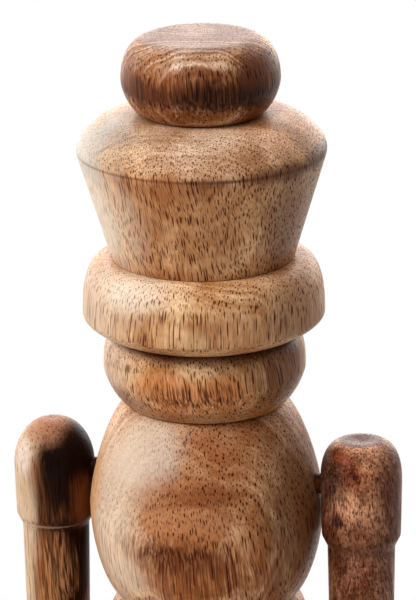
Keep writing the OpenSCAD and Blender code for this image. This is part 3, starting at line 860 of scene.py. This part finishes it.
def makeStand():
    print("stand")
    plan, box = standPlan, measure("stand")
    rim = quarter(box.reach - plan["edgeR"], box.tall, box.reach, box.tall - plan["edgeR"])[::-1]
    outline = [(0, 0), (box.reach - plan["bevel"], 0), (box.reach, plan["bevel"])] + rim + [(0, box.tall)]
    piece = turned("stand.turned", soften(outline, plan["soft"]), (0, 0, box.low.z), plan["segments"])
    dress(piece, "stand", wood("standWood", box.middle, **plan["wood"]))


# the pieces that keep the solids' own shape; their noises are stretched per metre
dowelLook = {
    "dark": (0.48, 0.3, 0.15), "pale": (0.66, 0.46, 0.27), "streak": (900, 900, 120),
    "fleck": (2600, 2600, 500), "roughness": 0.5, "fleckRoughness": 0.2, "depth": 0.05, "relief": 0.5,
}
steelLook = {
    "dark": (0.42, 0.42, 0.43), "pale": (0.62, 0.62, 0.63), "brush": (600, 600, 6000),
    "roughness": 0.22, "brushRoughness": 0.25, "depth": 0.02, "relief": 0.4,
}
feltLook = {
    "dark": (0.03, 0.035, 0.02), "pale": (0.11, 0.12, 0.075), "worn": (0.07, 0.075, 0.045), "wear": 0.3,
    "tuft": (1800, 1800, 1800), "patch": (120, 120, 120),
    "roughness": 0.85, "tuftRoughness": 0.15, "depth": 0.4, "relief": 0.8,
}
# dark wood, made near black as painted shade in the gap between arm and torso
darkPinAndGapShade = {"base": tarryAndShade, "light": umberAndShade, "deep": tarryAndShade, "gloss": 1.1}


def bareBeech(name):                                              # for the dowels
    paint, look = Paint(name), dowelLook
    place = paint.place()
    streak, fleck = paint.noise(place, look["streak"], 3), paint.noise(place, look["fleck"])
    colour = paint.mix(streak, look["dark"], look["pale"])
    rough = look["roughness"] + look["fleckRoughness"] * fleck
    return paint.finish({"Base Color": colour, "Roughness": rough}, fleck * look["depth"], look["relief"])


def brushedSteel(name):
    paint, look = Paint(name), steelLook
    brush = paint.noise(paint.place(), look["brush"], 3)
    colour = paint.mix(brush, look["dark"], look["pale"])
    rough = look["roughness"] + look["brushRoughness"] * brush
    return paint.finish({"Base Color": colour, "Roughness": rough, "Metallic": 1}, brush * look["depth"],
                        look["relief"])


def feltCloth(name):
    paint, look = Paint(name), feltLook
    place = paint.place()
    tuft, patch = paint.noise(place, look["tuft"], 4, 0.7), paint.noise(place, look["patch"])
    colour = paint.mix(tuft, look["dark"], look["pale"])
    colour = paint.mix(patch * look["wear"], colour, look["worn"])
    rough = look["roughness"] + look["tuftRoughness"] * tuft
    return paint.finish({"Base Color": colour, "Roughness": rough}, tuft * look["depth"], look["relief"])


def finishCarriedNodes():
    print("carried nodes")
    looks = {"dowel_wood": bareBeech("dowelWood"), "steel": brushedSteel("screwSteel"),
             "felt": feltCloth("feltCloth"),
             "dark_wood": wood("pinWoodAndGapShade", measure("left_shoulder_pin").middle, **darkPinAndGapShade)}
    carried = [row for row in frame["record"]["subparts"] if "dowel" in row["node"] or "pin" in row["node"]
               or row["material_slot"] in ("steel", "felt")]
    for row in carried:
        node = frame["nodes"][row["node"]]
        node.data.materials.clear()
        node.data.materials.append(looks[row["material_slot"]])


# floor, lamps and the white behind the figure
studio = {
    "floorColour": (0.65, 0.65, 0.65), "floorSize": 12,
    "nearFloor": 0.35,                    # how white the floor is by the figure
    "whiteFrom": 0.12, "whiteTo": 0.26,   # from its axis, where it begins to whiten and where it is white
    "white": (1, 1, 1), "ambient": 0.14, "aimHeight": 0.17,
    "lamps": [                            # name, bearing from the front, height angle, distance, size, watts
        ("window", -48, 38, 1.1, 0.4, 8),
        ("leftWall", -122, 5, 1.1, 1.5, 14.7),
        ("backWall", 172, 30, 1.2, 1.6, 27),
        ("ceiling", -5, 62, 1.1, 0.8, 6),
    ],
}


def makeFloor():
    bpy.ops.mesh.primitive_plane_add(size=studio["floorSize"], location=(0, 0, 0))
    floor = bpy.context.object
    floor.name = "floor"
    paint = Paint("floorPaint")
    x, y = paint.split(paint.place())[:2]
    away = (x * x + y * y) ** 0.5
    outer = paint.between(away, studio["whiteFrom"], studio["whiteTo"], studio["nearFloor"], 1)
    matt = paint.node("ShaderNodeBsdfDiffuse", {}, {"Color": studio["floorColour"]})
    white = paint.node("ShaderNodeEmission", {}, {"Color": studio["white"], "Strength": 1})
    mixed = paint.node("ShaderNodeMixShader", {}, {0: paint.looking() * outer, 1: matt, 2: white})
    paint.node("ShaderNodeOutputMaterial", {}, {"Surface": mixed})
    floor.data.materials.append(paint.owner)


def makeSky():
    sky = Paint("studioWorld", "worlds")
    dim, bright = (sky.node("ShaderNodeBackground", {}, {"Color": studio["white"], "Strength": strength})
                   for strength in (studio["ambient"], 1))
    mixed = sky.node("ShaderNodeMixShader", {}, {0: sky.looking(), 1: dim, 2: bright})
    sky.node("ShaderNodeOutputWorld", {}, {"Surface": mixed})
    bpy.context.scene.world = sky.owner


def hangLamps():
    aim = Vector((0, 0, studio["aimHeight"]))
    for name, azimuth, height, distance, size, watts in studio["lamps"]:
        away = bearing(azimuth, height)
        lamp = bpy.data.objects.new(name, bpy.data.lights.new(name, "AREA"))
        lamp.data.shape, lamp.data.size, lamp.data.energy = "SQUARE", size, watts
        lamp.location = aim + away * distance
        lamp.rotation_mode = "QUATERNION"
        lamp.rotation_quaternion = (-away).to_track_quat("-Z", "Y")
        bpy.context.scene.collection.objects.link(lamp)


def makeStudio():
    print("studio")
    bpy.context.scene.view_settings.view_transform = "Standard"
    makeFloor()
    makeSky()
    hangLamps()


placeCamera()
makeStudio()
makePompom()
makeCrown()
makeBrim()
makeHead()
makeTorso()
makeHips()
makeLegs()
makeArms()
makeBoots()
makeStand()
finishCarriedNodes()
